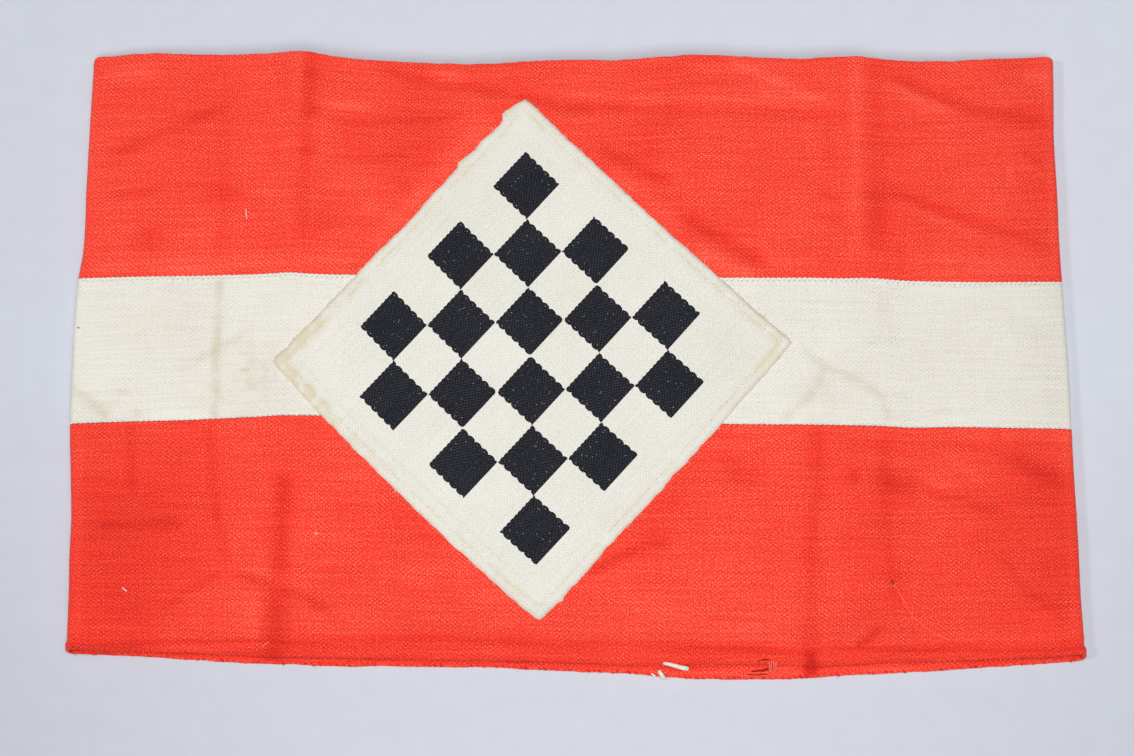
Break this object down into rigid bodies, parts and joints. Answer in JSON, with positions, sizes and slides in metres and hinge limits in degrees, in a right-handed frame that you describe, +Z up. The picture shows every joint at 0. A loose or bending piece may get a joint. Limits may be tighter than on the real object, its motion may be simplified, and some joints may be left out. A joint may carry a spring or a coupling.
{
  "type": "striped cloth armband",
  "caption": "Cloth armband lying flat: a sleeve of three joined strips, open at both rims, with a hemmed lower rim and a square patch sewn corner up on its upper layer.",
  "frame": {"origin": "under the middle of the sleeve as it lies flat: centre of the box in X and Y, underside in Z", "axes": "+X from the left fold to the right fold (longest extent), +Y from the hemmed lower rim to the upper rim, +Z up out of the layer that carries the patch (shortest extent)"},
  "size_m": [0.2186, 0.1384, 0.0099],
  "materials": {
    "red_cloth": "plain-woven cotton, matt",
    "white_cloth": "plain-woven cotton, matt",
    "patch_cloth": "plain-woven cotton with woven dark areas, matt"
  },
  "bodies": {
    "root": {"lower_strip": "red_cloth", "middle_strip": "white_cloth", "upper_strip": "red_cloth", "patch": "patch_cloth"}
  },
  "joints": []
}
